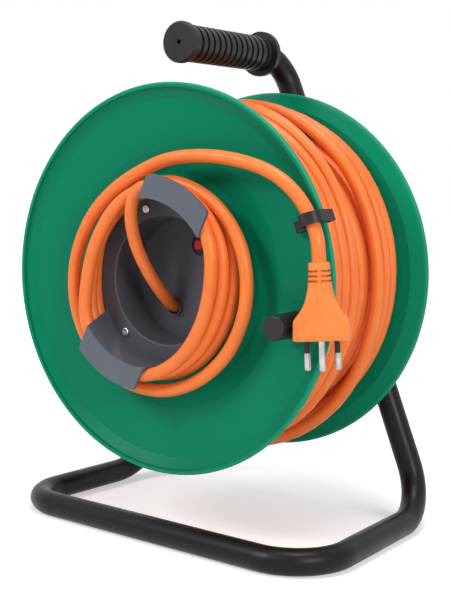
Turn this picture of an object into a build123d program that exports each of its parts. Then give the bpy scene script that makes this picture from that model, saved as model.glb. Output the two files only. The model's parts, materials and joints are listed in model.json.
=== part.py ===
"""Extension cord reel: a drum that turns on a bent tube stand, its plug lead stowed on the hub."""
import os
from math import cos, pi, radians, sin, sqrt, tan

from build123d import *

# All lengths are in mm. Angles are in degrees, seen from the front: 0 points right, 90 points up.
# A depth is a distance ahead of the drum's middle plane, so what lies behind it is negative.

# Drum
axis_height = 182.0
flange_radius = 135.0
flange_wall = 2.5
rim_depth = 67.5
lip_width = 3.3
lip_height = 2.2
flare_radius = 124.0
flare_rise = 2.8
face_rise = 1.5
dish_radius = 74.0
dish_slope = 15.5
dish_depth = 3.0
web_depth = 57.0
barrel_radius = 62.0
barrel_wall = 2.5
spigot_length = 6.0
spigot_wall = 2.6
spigot_gap = 0.3
tie_count = 3
tie_inset = 9.0
tie_angle = 47.5
tie_radius = 2.0
tie_head_radius = 4.0
tie_head_height = 2.5
tie_socket_radius = 1.4
tie_socket_depth = 1.5
tie_end_gap = 1.0
tie_column_radius = 4.5
tie_grip = 36.0
screw_gap = 0.1
rear_rib_count = 6
rear_rib_height = 2.4
rear_rib_angle = 77.5
knob_boss_sink = 0.8

# Axle and bearings
axle_radius = 8.0
running_gap = 0.05
bush_wall = 3.0
boss_wall = 4.0
rear_boss_depth = -62.0
rear_boss_length = 24.0
bearing_depth = 6.0
bearing_plate_wall = 3.0
bearing_boss_back = 4.0
bearing_boss_front = 9.0
end_washer_wall = 1.5
end_washer_radius = 13.0
clip_wall = 1.2
clip_radius = 11.0
clip_groove = 0.8
end_play = 0.2
axle_tip = 2.4
axle_chamfer = 1.0
stud_radius = 5.0
nut_height = 5.0
nut_across_flats = 17.0
nut_washer_wall = 1.5
nut_washer_radius = 10.0

# Stand
tube_radius = 9.0
tube_wall = 1.5
base_rear_half_width = 130.5
base_front_half_width = 136.0
base_front_left = 66.0
base_front_right = 90.0
stand_clearance = 1.5
handle_height = 345.0
base_bend = 38.0
handle_bend = 25.0
left_riser_rise = 28.0
plate_wall = 5.0
plate_height = 44.0
cap_wall = 3.0
cap_plug = 12.0
cap_edge = 1.8

# Handle grip
grip_front = 51.5
grip_rear = -52.0
grip_core = 11.4
grip_rib_radius = 12.8
grip_ribs = 14
grip_rib_share = 0.62
grip_front_disc = 14.3
grip_front_disc_wall = 4.5
grip_rear_disc = 16.5
grip_rear_disc_wall = 4.0
grip_end_wall = 2.5
grip_vent_radius = 1.6
grip_edge = 1.5

# Hub insert
hub_step = 2.5
hub_wall = 2.5
hub_face = 66.0
recess_rim = 15.1
recess_draft = 2.0
recess_floor = 41.0
hub_seat = 9.5
recess_edge = 1.2
horn_angle = 63.5
horn_overhang = 14.0
horn_face = 93.0
horn_half_width = 27.5
horn_foot_half_width = 36.5
horn_corner = 3.0
hub_screw_inset = 8.2
hub_screw_angle = 108.0
hub_screw_radius = 1.75
hub_screw_head = 2.9
hub_screw_head_height = 1.8
hub_screw_edge = 0.7
hub_screw_end_gap = 1.0
screw_slot_length = 2.6
screw_slot_width = 0.7
screw_slot_depth = 0.9
hub_screw_length = 20.0
hub_post_radius = 4.0

# Cable
cable_radius = 4.5
winding_radius = 116.0
winding_gap = 0.5
coil_wall = 9.5
coil_front = 88.5
coil_gap = 0.4

# Lead exit and thermal cut-out in the recess floor
exit_ring = 23.5
exit_angle = 243.5
exit_radius = 5.3
exit_lip_width = 1.6
exit_lip_height = 1.0
gland_wall = 3.5
gland_length = 9.0
cutout_ring = 27.0
cutout_angle = 63.5
cutout_side = 20.0
cutout_depth = 18.2
cutout_neck = 7.7
cutout_neck_length = 1.7
cutout_fit = 0.1
cutout_corner = 2.0
button_radius = 3.75
button_top = 44.0
button_collar = 5.0
button_collar_wall = 1.8
button_edge = 0.6
button_rest_gap = 0.2
cavity_radius = 5.4
cavity_length = 11.0
cavity_roof = 1.5
spring_wire = 0.35
spring_radius = 4.3
spring_turns = 4
spring_seat = 0.05
blade_width = 5.0
blade_wall = 0.8
blade_length = 7.0
blade_spacing = 9.0

# Terminal block and the winding's inner end
terminal_size = (24.0, 16.0, 12.0)
terminal_inset = 30.0
terminal_rise = 12.0
terminal_poles = 3
terminal_hole = 2.0
terminal_corner = 1.0
inlet_angle = 205.0
inlet_depth = -30.0
inlet_reach = 24.0
grommet_wall = 1.6
grommet_brim = 3.0
grommet_brim_wall = 1.5

# Crank knob
knob_ring = 107.2
knob_angle = -12.2
knob_base_radius = 8.8
knob_tip_radius = 8.0
knob_tip = 91.0
knob_edge = 1.5
knob_boss_radius = 16.0
knob_boss_top = 63.5
knob_boss_taper = 25.0
knob_gap = 0.2
knob_end_wall = 3.0
pin_radius = 3.0
pin_head_radius = 6.0
pin_head_height = 2.2

# Cable clip on the rim
clip_angle = 20.5
clip_cable_ring = 131.1
clip_cable_depth = 75.9
clip_strap = 1.8
clip_width = 7.5
clip_clearance = 1.5
clip_foot = 11.3
clip_foot_height = 4.5
clip_hook = 4.0
clip_snap_gap = 0.5
seat_gap = 0.3

# Plug
plug_top = (130.3, 19.4)
plug_depth = 78.4
plug_turn = 28.0
plug_tilt = 3.0
plug_length = 48.5
plug_lead = 11.2
plug_neck_end = 21.0
plug_shoulder = 36.0
plug_top_section = (4.0, 5.8, 6.6, 4.0)
plug_neck_section = (5.5, 6.3, 8.6, 4.2)
plug_shoulder_section = (9.0, 7.5, 17.2, 3.0)
plug_foot_section = (9.0, 7.5, 18.2, 3.2)
plug_slots = 3
plug_slot_pitch = 3.1
plug_slot_first = 5.2
plug_slot_height = 1.2
plug_slot_core = (11.0, 9.4)
plug_slot_web = 1.2
plug_slot_reach = 30.0
prong_radius = 2.0
prong_length = 19.0
prong_spacing = 19.0
earth_offset = 5.0
prong_root = 8.0
sleeve_radius = 1.8
sleeve_length = 8.0
prong_core = 1.5
prong_round = 0.9

# Coupler on the winding's outer end
coupler_angle = 158.0
coupler_length = 44.0
coupler_width = 36.0
coupler_thickness = 24.0
coupler_neck = 22.0
coupler_neck_radius = 7.2
coupler_neck_tip = 5.8
coupler_lead = 14.0
coupler_edge = 4.0
coupler_recess = 2.0
coupler_hole_radius = 2.4
contact_end_gap = 1.0
contact_radius = 2.05
contact_wall = 0.9
contact_length = 18.0

# Places that follow from the sizes above
tube_back = rim_depth + stand_clearance + 2 * tube_radius
riser_depth = -(rim_depth + stand_clearance + tube_radius)
front_right = Vector(base_front_half_width, base_front_right)
front_way = (front_right - Vector(-base_front_half_width, base_front_left)).normalized()
side_way = (Vector(base_rear_half_width, riser_depth) - front_right).normalized()
front_half_turn = radians(front_way.get_angle(side_way)) / 2
front_bend_centre = front_right + (side_way - front_way).normalized() * (base_bend / cos(front_half_turn))
front_extent = max(front_bend_centre.Y + base_bend + tube_radius, horn_face)
middle_y = (front_extent - tube_back) / 2
web_back = web_depth - flange_wall
inner_radius = barrel_radius - barrel_wall
tie_ring = barrel_radius - tie_inset
inlet_start = barrel_radius - inlet_reach
terminal_place = (terminal_inset - barrel_radius, terminal_rise)
left_riser_top = axis_height + left_riser_rise
bush_radius = axle_radius + running_gap + bush_wall
bearing_front = bearing_depth + bearing_boss_front + bearing_plate_wall
hub_radius = barrel_radius - hub_step
hub_wall_inner = hub_radius - hub_wall
hub_bore = hub_radius - hub_seat
hub_screw_ring = hub_radius - hub_screw_inset
recess_mouth = hub_radius - recess_rim
recess_floor_radius = recess_mouth - recess_draft
horn_reach = hub_radius + horn_overhang
coil_outer = hub_radius + coil_wall
floor_back = recess_floor - hub_wall

drum_front = Plane(origin=(0, middle_y, axis_height), x_dir=(1, 0, 0), z_dir=(0, -1, 0))
drum_section = Plane(origin=(0, middle_y, axis_height), x_dir=(1, 0, 0), z_dir=(0, 0, -1))
drum_axis = Axis((0, middle_y, axis_height), (0, -1, 0))
handle_front = Plane(origin=(0, middle_y, handle_height), x_dir=(1, 0, 0), z_dir=(0, -1, 0))

os.makedirs("parts", exist_ok=True)


def save(builder, name):
    """Label a finished piece and write its STEP file."""
    builder.part.label = name
    export_step(builder.part, f"parts/{name}.step")


def polar(radius, angle):
    """A point of the drum's face, right and up from its axis."""
    return (radius * cos(radians(angle)), radius * sin(radians(angle)))


def ring_of(count, radius, first):
    """Evenly spaced points on a circle about the drum's axis."""
    return [polar(radius, first + step * 360 / count) for step in range(count)]


def place(right, up, depth):
    """A point given from the drum's centre, in the part's frame."""
    return Vector(right, middle_y - depth, axis_height + up)


def bend_radii(points):
    """The largest arc that fits at each inner point of a route."""
    radii = []
    for before, corner, after in zip(points, points[1:], points[2:]):
        arriving = corner - before
        leaving = after - corner
        half_turn = radians(arriving.get_angle(leaving)) / 2
        radii.append(0.45 * min(arriving.length, leaving.length) / tan(half_turn))
    return radii


def cord_tube(points, name):
    """A cable along straight runs joined by tangent arcs."""
    radii = bend_radii(points)
    print(name, "bend radii", [round(radius, 1) for radius in radii])
    with BuildPart() as cord:
        with BuildLine() as route:
            FilletPolyline(*points, radius=radii)
        start = Plane(origin=route.line @ 0, z_dir=route.line % 0)
        with BuildSketch(start):
            Circle(cable_radius)
        sweep(path=route.line)
    length = sum(edge.length for edge in route.edges())
    section = pi * cable_radius**2
    print(name, "length", round(length, 1), "volume ratio", round(cord.part.volume / section / length, 4))
    save(cord, name)


def flange_outline(bore, side):
    """Radial section of a flange; side is 1 at the front and -1 at the rear."""
    lip_inner = flange_radius - lip_width
    groove = rim_depth - lip_height
    face = web_depth + dish_depth
    outside = [
        (bore, web_depth),
        (dish_radius, web_depth),
        (dish_radius + dish_slope, face),
        (flare_radius, face + face_rise),
        (lip_inner, groove),
        (lip_inner, rim_depth),
        (flange_radius, rim_depth),
    ]
    inside = [
        (flange_radius, rim_depth - lip_height - flange_wall / 2),
        (lip_inner, groove - flange_wall),
        (flare_radius, face + face_rise - flange_wall),
        (dish_radius + dish_slope, face - flange_wall),
        (dish_radius, web_back),
        (bore, web_back),
    ]
    return [(radius, side * depth) for radius, depth in outside + inside]


def flange_disc(bore, side):
    """The dished disc of one flange, with its lip's crest rounded."""
    with BuildSketch(drum_section) as section:
        with BuildLine():
            Polyline(*flange_outline(bore, side), close=True)
        make_face()
        lip = section.vertices().group_by(Axis.X)[-1]
        fillet(lip, lip_height / 2)
    revolve(section.sketch, axis=drum_axis)


def spigot(side):
    """The ring on a flange that centres the barrel."""
    outer = inner_radius - spigot_gap
    start = side * web_back
    with BuildSketch(drum_front.offset(start)) as ring:
        Circle(outer)
        Circle(outer - spigot_wall, mode=Mode.SUBTRACT)
    extrude(ring.sketch, amount=-side * spigot_length)


# ---- Front flange ----
tie_points = ring_of(tie_count, tie_ring, tie_angle)
hub_screw_points = ring_of(3, hub_screw_ring, hub_screw_angle)
knob_point = polar(knob_ring, knob_angle)
plate_front = bearing_depth + bearing_plate_wall
hub_screw_end = hub_face - hub_screw_length

with BuildPart() as front_flange:
    flange_disc(hub_bore, 1)
    spigot(1)
    with BuildSketch(drum_front.offset(plate_front)):
        with Locations(*tie_points):
            Circle(tie_column_radius)
    extrude(amount=web_back - plate_front)
    with BuildSketch(drum_front.offset(hub_screw_end - flange_wall)):
        with Locations(*hub_screw_points):
            Circle(hub_post_radius)
    extrude(amount=web_back - hub_screw_end + flange_wall)
    boss_start = web_depth + dish_depth - knob_boss_sink
    with BuildSketch(drum_front.offset(boss_start)):
        with Locations(knob_point):
            Circle(knob_boss_radius)
    extrude(amount=knob_boss_top - boss_start, taper=knob_boss_taper)
    with BuildSketch(drum_front.offset(plate_front)):
        with Locations(*tie_points):
            Circle(tie_radius + screw_gap)
    extrude(amount=tie_grip, mode=Mode.SUBTRACT)
    with BuildSketch(drum_front.offset(web_depth)):
        with Locations(*hub_screw_points):
            Circle(hub_screw_radius + screw_gap)
    extrude(amount=hub_screw_end - web_depth, mode=Mode.SUBTRACT)
    pocket_roof = knob_boss_top - flange_wall
    with BuildSketch(drum_front.offset(pocket_roof)):
        with Locations(knob_point):
            Circle(pin_head_radius + seat_gap)
    extrude(amount=web_back - pocket_roof, mode=Mode.SUBTRACT)
    with BuildSketch(drum_front.offset(pocket_roof)):
        with Locations(knob_point):
            Circle(pin_radius + screw_gap)
    extrude(amount=flange_wall, mode=Mode.SUBTRACT)
save(front_flange, "front_flange")

# ---- Rear flange, with the boss for the rear bush ----
boss_radius = bush_radius + boss_wall
rib_inner = boss_radius - boss_wall / 2
rib_outer = dish_radius + dish_slope * (rear_rib_height / dish_depth + 1) / 2

with BuildPart() as rear_flange:
    flange_disc(bush_radius, -1)
    spigot(-1)
    with BuildSketch(drum_front.offset(rear_boss_depth)):
        Circle(boss_radius)
        Circle(bush_radius, mode=Mode.SUBTRACT)
    extrude(amount=rear_boss_length)
    with BuildSketch(drum_front.offset(-web_depth - rear_rib_height)):
        with PolarLocations((rib_inner + rib_outer) / 2, rear_rib_count, start_angle=rear_rib_angle):
            Rectangle(rib_outer - rib_inner, flange_wall)
    extrude(amount=rear_rib_height)
    with BuildSketch(drum_front.offset(-web_back)):
        with Locations(*tie_points):
            Circle(tie_column_radius)
    extrude(amount=web_back + bearing_depth)
    with BuildSketch(drum_front.offset(-web_depth)):
        with Locations(*tie_points):
            Circle(tie_radius + screw_gap)
    extrude(amount=web_depth + bearing_depth, mode=Mode.SUBTRACT)
save(rear_flange, "rear_flange")

# ---- Barrel between the flanges, with the winding's inlet hole ----
inlet_across = polar(1, inlet_angle)
inlet_plane = Plane(
    origin=place(0, 0, inlet_depth),
    x_dir=(0, -1, 0),
    z_dir=(inlet_across[0], 0, inlet_across[1]),
)
inlet_hole = cable_radius + running_gap + grommet_wall

with BuildPart() as drum_barrel:
    with BuildSketch(drum_front.offset(-web_back)):
        Circle(barrel_radius)
        Circle(inner_radius, mode=Mode.SUBTRACT)
    extrude(amount=2 * web_back)
    with BuildSketch(inlet_plane.offset(inlet_start)):
        Circle(inlet_hole)
    extrude(amount=barrel_radius - inlet_start + 1, mode=Mode.SUBTRACT)
save(drum_barrel, "drum_barrel")

# ---- Grommet in the barrel's inlet hole ----
with BuildPart() as barrel_grommet:
    brim_radius = inlet_hole + grommet_brim
    brim_start = sqrt(inner_radius**2 - brim_radius**2) - grommet_brim_wall - seat_gap
    with BuildSketch(inlet_plane.offset(brim_start)):
        Circle(brim_radius)
    extrude(amount=grommet_brim_wall)
    with BuildSketch(inlet_plane.offset(brim_start)):
        Circle(inlet_hole - running_gap)
    extrude(amount=barrel_radius - brim_start - seat_gap)
    with BuildSketch(drum_front.offset(-web_back)):
        Circle(flange_radius)
        Circle(barrel_radius - seat_gap / 2, mode=Mode.SUBTRACT)
    extrude(amount=2 * web_back, mode=Mode.SUBTRACT)
    with BuildSketch(inlet_plane.offset(brim_start)):
        Circle(cable_radius + running_gap)
    extrude(amount=barrel_radius, mode=Mode.SUBTRACT)
save(barrel_grommet, "barrel_grommet")

# ---- Bearing plate inside the barrel ----
with BuildPart() as bearing_plate:
    with BuildSketch(drum_front.offset(bearing_depth)):
        Circle(inner_radius - spigot_gap)
    extrude(amount=bearing_plate_wall)
    with BuildSketch(drum_front.offset(bearing_depth - bearing_boss_back)):
        Circle(boss_radius)
    extrude(amount=bearing_front - bearing_depth + bearing_boss_back)
    with BuildSketch(drum_front.offset(bearing_depth - bearing_boss_back)):
        Circle(bush_radius)
        with Locations(*tie_points):
            Circle(tie_radius + screw_gap)
    extrude(amount=bearing_front - bearing_depth + bearing_boss_back, mode=Mode.SUBTRACT)
save(bearing_plate, "bearing_plate")

# ---- Tie screws that clamp the drum together ----
with BuildPart() as tie_screws:
    with BuildSketch(drum_front.offset(-web_depth - tie_head_height)):
        with Locations(*tie_points):
            Circle(tie_head_radius)
            RegularPolygon(tie_socket_radius, 6, mode=Mode.SUBTRACT)
    extrude(amount=tie_socket_depth)
    with BuildSketch(drum_front.offset(-web_depth - tie_head_height + tie_socket_depth)):
        with Locations(*tie_points):
            Circle(tie_head_radius)
    extrude(amount=tie_head_height - tie_socket_depth)
    with BuildSketch(drum_front.offset(-web_depth)):
        with Locations(*tie_points):
            Circle(tie_radius)
    extrude(amount=web_depth + plate_front + tie_grip - tie_end_gap)
save(tie_screws, "tie_screws")


def bush(name, back, front):
    """A plain bearing bush on the axle, from its back face to its front face."""
    with BuildPart() as sleeve:
        with BuildSketch(drum_front.offset(back)):
            Circle(bush_radius)
            Circle(axle_radius + running_gap, mode=Mode.SUBTRACT)
        extrude(amount=front - back)
    save(sleeve, name)


bush("rear_bush", rear_boss_depth, rear_boss_depth + rear_boss_length)
bush("front_bush", bearing_depth - bearing_boss_back, bearing_front)

# ---- Axle: a pin with a threaded stud behind it and a clip groove at its tip ----
plate_face = riser_depth + plate_wall / 2
plate_back = riser_depth - plate_wall / 2
washer_start = bearing_front + end_play
groove_start = washer_start + end_washer_wall + end_play
axle_end = groove_start + clip_wall + axle_tip

with BuildPart() as axle:
    with BuildSketch(drum_front.offset(plate_face)):
        Circle(axle_radius)
    extrude(amount=axle_end - plate_face)
    tip_edge = axle.edges().filter_by(GeomType.CIRCLE).sort_by(Axis.Y)[0]
    chamfer(tip_edge, axle_chamfer)
    with BuildSketch(drum_front.offset(groove_start)):
        Circle(axle_radius)
        Circle(axle_radius - clip_groove, mode=Mode.SUBTRACT)
    extrude(amount=clip_wall, mode=Mode.SUBTRACT)
    with BuildSketch(drum_front.offset(plate_face)):
        Circle(stud_radius)
    extrude(amount=plate_back - nut_washer_wall - nut_height - plate_face)
save(axle, "axle")

with BuildPart() as axle_washer:
    with BuildSketch(drum_front.offset(washer_start)):
        Circle(end_washer_radius)
        Circle(axle_radius + screw_gap, mode=Mode.SUBTRACT)
    extrude(amount=end_washer_wall)
save(axle_washer, "axle_washer")

with BuildPart() as axle_clip:
    with BuildSketch(drum_front.offset(groove_start)):
        Circle(clip_radius)
        Circle(axle_radius - clip_groove, mode=Mode.SUBTRACT)
        with Locations((0, -clip_radius)):
            Rectangle(axle_radius, clip_radius, mode=Mode.SUBTRACT)
    extrude(amount=clip_wall)
save(axle_clip, "axle_clip")

with BuildPart() as axle_spacer:
    with BuildSketch(drum_front.offset(plate_face)):
        Circle(bush_radius)
        Circle(axle_radius + running_gap, mode=Mode.SUBTRACT)
    extrude(amount=rear_boss_depth - end_play - plate_face)
save(axle_spacer, "axle_spacer")

with BuildPart() as nut_washer:
    with BuildSketch(drum_front.offset(plate_back)):
        Circle(nut_washer_radius)
        Circle(stud_radius + screw_gap, mode=Mode.SUBTRACT)
    extrude(amount=-nut_washer_wall)
save(nut_washer, "nut_washer")

with BuildPart() as axle_nut:
    with BuildSketch(drum_front.offset(plate_back - nut_washer_wall)):
        RegularPolygon(nut_across_flats / 2, 6, major_radius=False)
        Circle(stud_radius + screw_gap / 2, mode=Mode.SUBTRACT)
    extrude(amount=-nut_height)
save(axle_nut, "axle_nut")

# ---- Stand: one bent tube from the handle to the left riser ----
riser_top = place(0, handle_height - axis_height, riser_depth)
right_corner = place(base_rear_half_width, tube_radius - axis_height, riser_depth)
left_corner = place(-base_rear_half_width, tube_radius - axis_height, riser_depth)
left_rise = (left_riser_top - tube_radius) / (handle_height - tube_radius)
tube_end = left_corner + (riser_top - left_corner) * left_rise
stand_points = [
    place(0, handle_height - axis_height, grip_front - grip_end_wall),
    riser_top,
    right_corner,
    place(base_front_half_width, tube_radius - axis_height, base_front_right),
    place(-base_front_half_width, tube_radius - axis_height, base_front_left),
    left_corner,
    tube_end,
]
stand_bends = [handle_bend] + [base_bend] * 4

with BuildPart() as stand_tube:
    with BuildLine() as stand_line:
        FilletPolyline(*stand_points, radius=stand_bends)
    with BuildSketch(Plane(origin=stand_line.line @ 0, z_dir=stand_line.line % 0)):
        Circle(tube_radius)
        Circle(tube_radius - tube_wall, mode=Mode.SUBTRACT)
    sweep(path=stand_line.line)
save(stand_tube, "stand_tube")

# ---- Cap in the left riser's open end ----
end_plane = Plane(origin=tube_end, z_dir=(riser_top - left_corner).normalized())

with BuildPart() as tube_cap:
    with BuildSketch(end_plane):
        Circle(tube_radius)
    extrude(amount=cap_wall)
    cap_rim = tube_cap.edges().sort_by(Axis(tube_end, riser_top - left_corner))[-1]
    fillet(cap_rim, cap_edge)
    with BuildSketch(end_plane):
        Circle(tube_radius - tube_wall)
    extrude(amount=-cap_plug)
save(tube_cap, "tube_cap")

# ---- Axle plate between the risers, coped to the tubes ----
riser_line = riser_top - right_corner

with BuildPart() as axle_plate:
    with BuildSketch(drum_front.offset(plate_back)):
        Rectangle(base_rear_half_width, plate_height)
        Circle(stud_radius + screw_gap, mode=Mode.SUBTRACT)
    extrude(amount=plate_wall)
    for corner in (left_corner, right_corner):
        with BuildSketch(Plane(origin=corner, z_dir=riser_top - corner)):
            Circle(tube_radius)
        extrude(amount=riser_line.length, mode=Mode.SUBTRACT)
    middle = axle_plate.solids().sort_by_distance(place(0, 0, riser_depth))[0]
    for piece in axle_plate.solids():
        if piece.center().X != middle.center().X:
            add(piece, mode=Mode.SUBTRACT)
save(axle_plate, "axle_plate")

# ---- Ribbed handle grip ----
grip_ribs_front = grip_front - grip_front_disc_wall
grip_ribs_rear = grip_rear + grip_rear_disc_wall
rib_pitch = (grip_ribs_front - grip_ribs_rear) / grip_ribs
rib_width = rib_pitch * grip_rib_share

with BuildPart() as handle_grip:
    with BuildSketch(handle_front.offset(grip_rear)):
        Circle(grip_core)
    extrude(amount=grip_front - grip_rear)
    with BuildSketch(handle_front.offset(grip_ribs_front)):
        Circle(grip_front_disc)
    extrude(amount=grip_front_disc_wall)
    fillet(handle_grip.faces().sort_by(Axis.Y)[0].edges(), grip_edge)
    with BuildSketch(handle_front.offset(grip_rear)):
        Circle(grip_rear_disc)
    extrude(amount=grip_rear_disc_wall)
    for rib in range(grip_ribs):
        rib_start = grip_ribs_rear + (rib + 0.5) * rib_pitch - rib_width / 2
        with BuildSketch(handle_front.offset(rib_start)):
            Circle(grip_rib_radius)
        extrude(amount=rib_width)
    with BuildSketch(handle_front.offset(grip_rear)):
        Circle(tube_radius)
    extrude(amount=grip_front - grip_end_wall - grip_rear, mode=Mode.SUBTRACT)
    with BuildSketch(handle_front.offset(grip_front)):
        Circle(grip_vent_radius)
    extrude(amount=-grip_end_wall, mode=Mode.SUBTRACT)
save(handle_grip, "handle_grip")

# ---- Hub insert: a cup with a ledge and two horns that hold the lead ----
exit_point = polar(exit_ring, exit_angle)
cutout_point = polar(cutout_ring, cutout_angle)


def horn(angle):
    """One horn: a wall that narrows towards a plate reaching out over the lead."""
    along = polar(1, angle)
    facing = Plane(
        origin=place(0, 0, 0),
        x_dir=(-along[1], 0, along[0]),
        z_dir=(along[0], 0, along[1]),
    )
    with BuildSketch(facing) as wall_face:
        with BuildLine():
            Polyline(
                (-horn_foot_half_width, hub_face - hub_wall),
                (horn_foot_half_width, hub_face - hub_wall),
                (horn_half_width, horn_face),
                (-horn_half_width, horn_face),
                close=True,
            )
        make_face()
    wedge = extrude(wall_face.sketch, amount=hub_radius, mode=Mode.PRIVATE)
    with BuildSketch(drum_front.offset(hub_face - hub_wall)) as wall_ring:
        Circle(hub_radius)
        Circle(hub_wall_inner, mode=Mode.SUBTRACT)
    shell = extrude(wall_ring.sketch, amount=horn_face - hub_face + hub_wall, mode=Mode.PRIVATE)
    with BuildSketch(drum_front.offset(horn_face - hub_wall)) as plate_ring:
        Circle(horn_reach)
        Circle(hub_wall_inner, mode=Mode.SUBTRACT)
        with Locations(Location((along[0] * horn_reach, along[1] * horn_reach), angle)):
            Rectangle(2 * horn_reach, 2 * horn_half_width, mode=Mode.INTERSECT)
        outer_corners = plate_ring.vertices().sort_by_distance(
            (along[0] * horn_reach, along[1] * horn_reach)
        )
        fillet(outer_corners[:2], horn_corner)
    plate = extrude(plate_ring.sketch, amount=hub_wall, mode=Mode.PRIVATE)
    return [shell & wedge, plate]


with BuildPart() as hub_insert:
    with BuildSketch(drum_section):
        with BuildLine():
            Polyline(
                (hub_wall_inner, web_depth),
                (hub_radius, web_depth),
                (hub_radius, hub_face),
                (recess_mouth, hub_face),
                (recess_floor_radius, recess_floor),
                (0, recess_floor),
                (0, floor_back),
                (recess_floor_radius + hub_wall, floor_back),
                (recess_mouth + hub_wall, hub_face - hub_wall),
                (hub_wall_inner, hub_face - hub_wall),
                close=True,
            )
        make_face()
    revolve(axis=drum_axis)
    mouth = hub_insert.edges().filter_by(GeomType.CIRCLE).group_by(Axis.Y)[0]
    fillet(mouth.sort_by(SortBy.RADIUS)[0], recess_edge)
    with BuildSketch(drum_front.offset(web_depth)):
        with Locations(*hub_screw_points):
            Circle(hub_post_radius)
    extrude(amount=hub_face - hub_wall - web_depth)
    with BuildSketch(drum_front.offset(recess_floor)):
        with Locations(exit_point):
            Circle(exit_radius + exit_lip_width)
    extrude(amount=exit_lip_height)
    add(horn(horn_angle))
    add(horn(horn_angle + 180))
    with BuildSketch(drum_front.offset(floor_back)):
        with Locations(exit_point):
            Circle(exit_radius)
        with Locations(cutout_point):
            Circle(cutout_neck + cutout_fit)
    extrude(amount=hub_wall + exit_lip_height, mode=Mode.SUBTRACT)
    with BuildSketch(drum_front.offset(web_depth)):
        with Locations(*hub_screw_points):
            Circle(hub_screw_radius + screw_gap)
    extrude(amount=hub_face - web_depth, mode=Mode.SUBTRACT)
save(hub_insert, "hub_insert")

with BuildPart() as hub_screws:
    with BuildSketch(drum_front.offset(hub_face)):
        with Locations(*hub_screw_points):
            Circle(hub_screw_head)
    extrude(amount=hub_screw_head_height)
    fillet(hub_screws.faces().group_by(Axis.Y)[0].edges(), hub_screw_edge)
    with BuildSketch(drum_front.offset(hub_face + hub_screw_head_height)):
        with Locations(*hub_screw_points):
            Rectangle(screw_slot_length, screw_slot_width)
            Rectangle(screw_slot_width, screw_slot_length)
    extrude(amount=-screw_slot_depth, mode=Mode.SUBTRACT)
    with BuildSketch(drum_front.offset(hub_face)):
        with Locations(*hub_screw_points):
            Circle(hub_screw_radius)
    extrude(amount=-hub_screw_length + hub_screw_end_gap)
save(hub_screws, "hub_screws")

# ---- Gland behind the exit hole ----
with BuildPart() as lead_gland:
    with BuildSketch(drum_front.offset(floor_back)):
        with Locations(exit_point):
            Circle(cable_radius + gland_wall)
            Circle(cable_radius + running_gap, mode=Mode.SUBTRACT)
    extrude(amount=-gland_length)
save(lead_gland, "lead_gland")

# ---- Thermal cut-out: housing, sprung button and contact blades ----
cutout_back = floor_back - cutout_depth
cavity_top = floor_back - cavity_roof
cavity_bottom = cavity_top - cavity_length
collar_top = cavity_top - button_rest_gap
collar_bottom = collar_top - button_collar_wall

with BuildPart() as cutout_housing:
    with BuildSketch(drum_front.offset(cutout_back)):
        with Locations(cutout_point):
            RectangleRounded(cutout_side, cutout_side, cutout_corner)
    extrude(amount=cutout_depth)
    with BuildSketch(drum_front.offset(floor_back)):
        with Locations(cutout_point):
            Circle(cutout_neck)
    extrude(amount=cutout_neck_length)
    with BuildSketch(drum_front.offset(cavity_bottom)):
        with Locations(cutout_point):
            Circle(cavity_radius)
    extrude(amount=cavity_length, mode=Mode.SUBTRACT)
    with BuildSketch(drum_front.offset(cavity_top)):
        with Locations(cutout_point):
            Circle(button_radius + screw_gap)
    extrude(amount=cavity_roof + cutout_neck_length, mode=Mode.SUBTRACT)
save(cutout_housing, "cutout_housing")

with BuildPart() as reset_button:
    with BuildSketch(drum_front.offset(collar_bottom)):
        with Locations(cutout_point):
            Circle(button_radius)
    extrude(amount=button_top - collar_bottom)
    fillet(reset_button.faces().sort_by(Axis.Y)[0].edges(), button_edge)
    with BuildSketch(drum_front.offset(collar_bottom)):
        with Locations(cutout_point):
            Circle(button_collar)
    extrude(amount=button_collar_wall)
save(reset_button, "reset_button")

with BuildPart() as reset_spring:
    spring_length = collar_bottom - cavity_bottom - 2 * (spring_wire + spring_seat)
    spring_base = place(*cutout_point, cavity_bottom + spring_wire + spring_seat)
    with BuildLine() as spring_line:
        Helix(
            pitch=spring_length / spring_turns,
            height=spring_length,
            radius=spring_radius,
            center=spring_base,
            direction=(0, -1, 0),
        )
    with BuildSketch(Plane(origin=spring_line.line @ 0, z_dir=spring_line.line % 0)):
        Circle(spring_wire)
    sweep(path=spring_line.line, is_frenet=True)
save(reset_spring, "reset_spring")

with BuildPart() as cutout_blades:
    with BuildSketch(drum_front.offset(cutout_back)):
        with Locations(cutout_point):
            with GridLocations(blade_spacing, 1, 2, 1):
                Rectangle(blade_wall, blade_width)
    extrude(amount=-blade_length)
save(cutout_blades, "cutout_blades")

# ---- Terminal block on the bearing plate ----
with BuildPart() as terminal_block:
    with BuildSketch(drum_front.offset(plate_front)):
        with Locations(terminal_place):
            RectangleRounded(terminal_size[0], terminal_size[1], terminal_corner)
    extrude(amount=terminal_size[2])
    pole_pitch = terminal_size[0] / terminal_poles
    with BuildSketch(drum_front.offset(plate_front + terminal_size[2])):
        with Locations(terminal_place):
            with GridLocations(pole_pitch, terminal_size[1] / 2, terminal_poles, 2):
                Circle(terminal_hole)
    extrude(amount=-terminal_size[2] / 2, mode=Mode.SUBTRACT)
save(terminal_block, "terminal_block")

# ---- Crank knob and the pin it turns on ----
pin_end = knob_tip - knob_end_wall - seat_gap

with BuildPart() as knob_pin:
    with BuildSketch(drum_front.offset(pocket_roof)):
        with Locations(knob_point):
            Circle(pin_head_radius)
    extrude(amount=-pin_head_height)
    with BuildSketch(drum_front.offset(pocket_roof)):
        with Locations(knob_point):
            Circle(pin_radius)
    extrude(amount=pin_end - pocket_roof)
save(knob_pin, "knob_pin")

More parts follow.
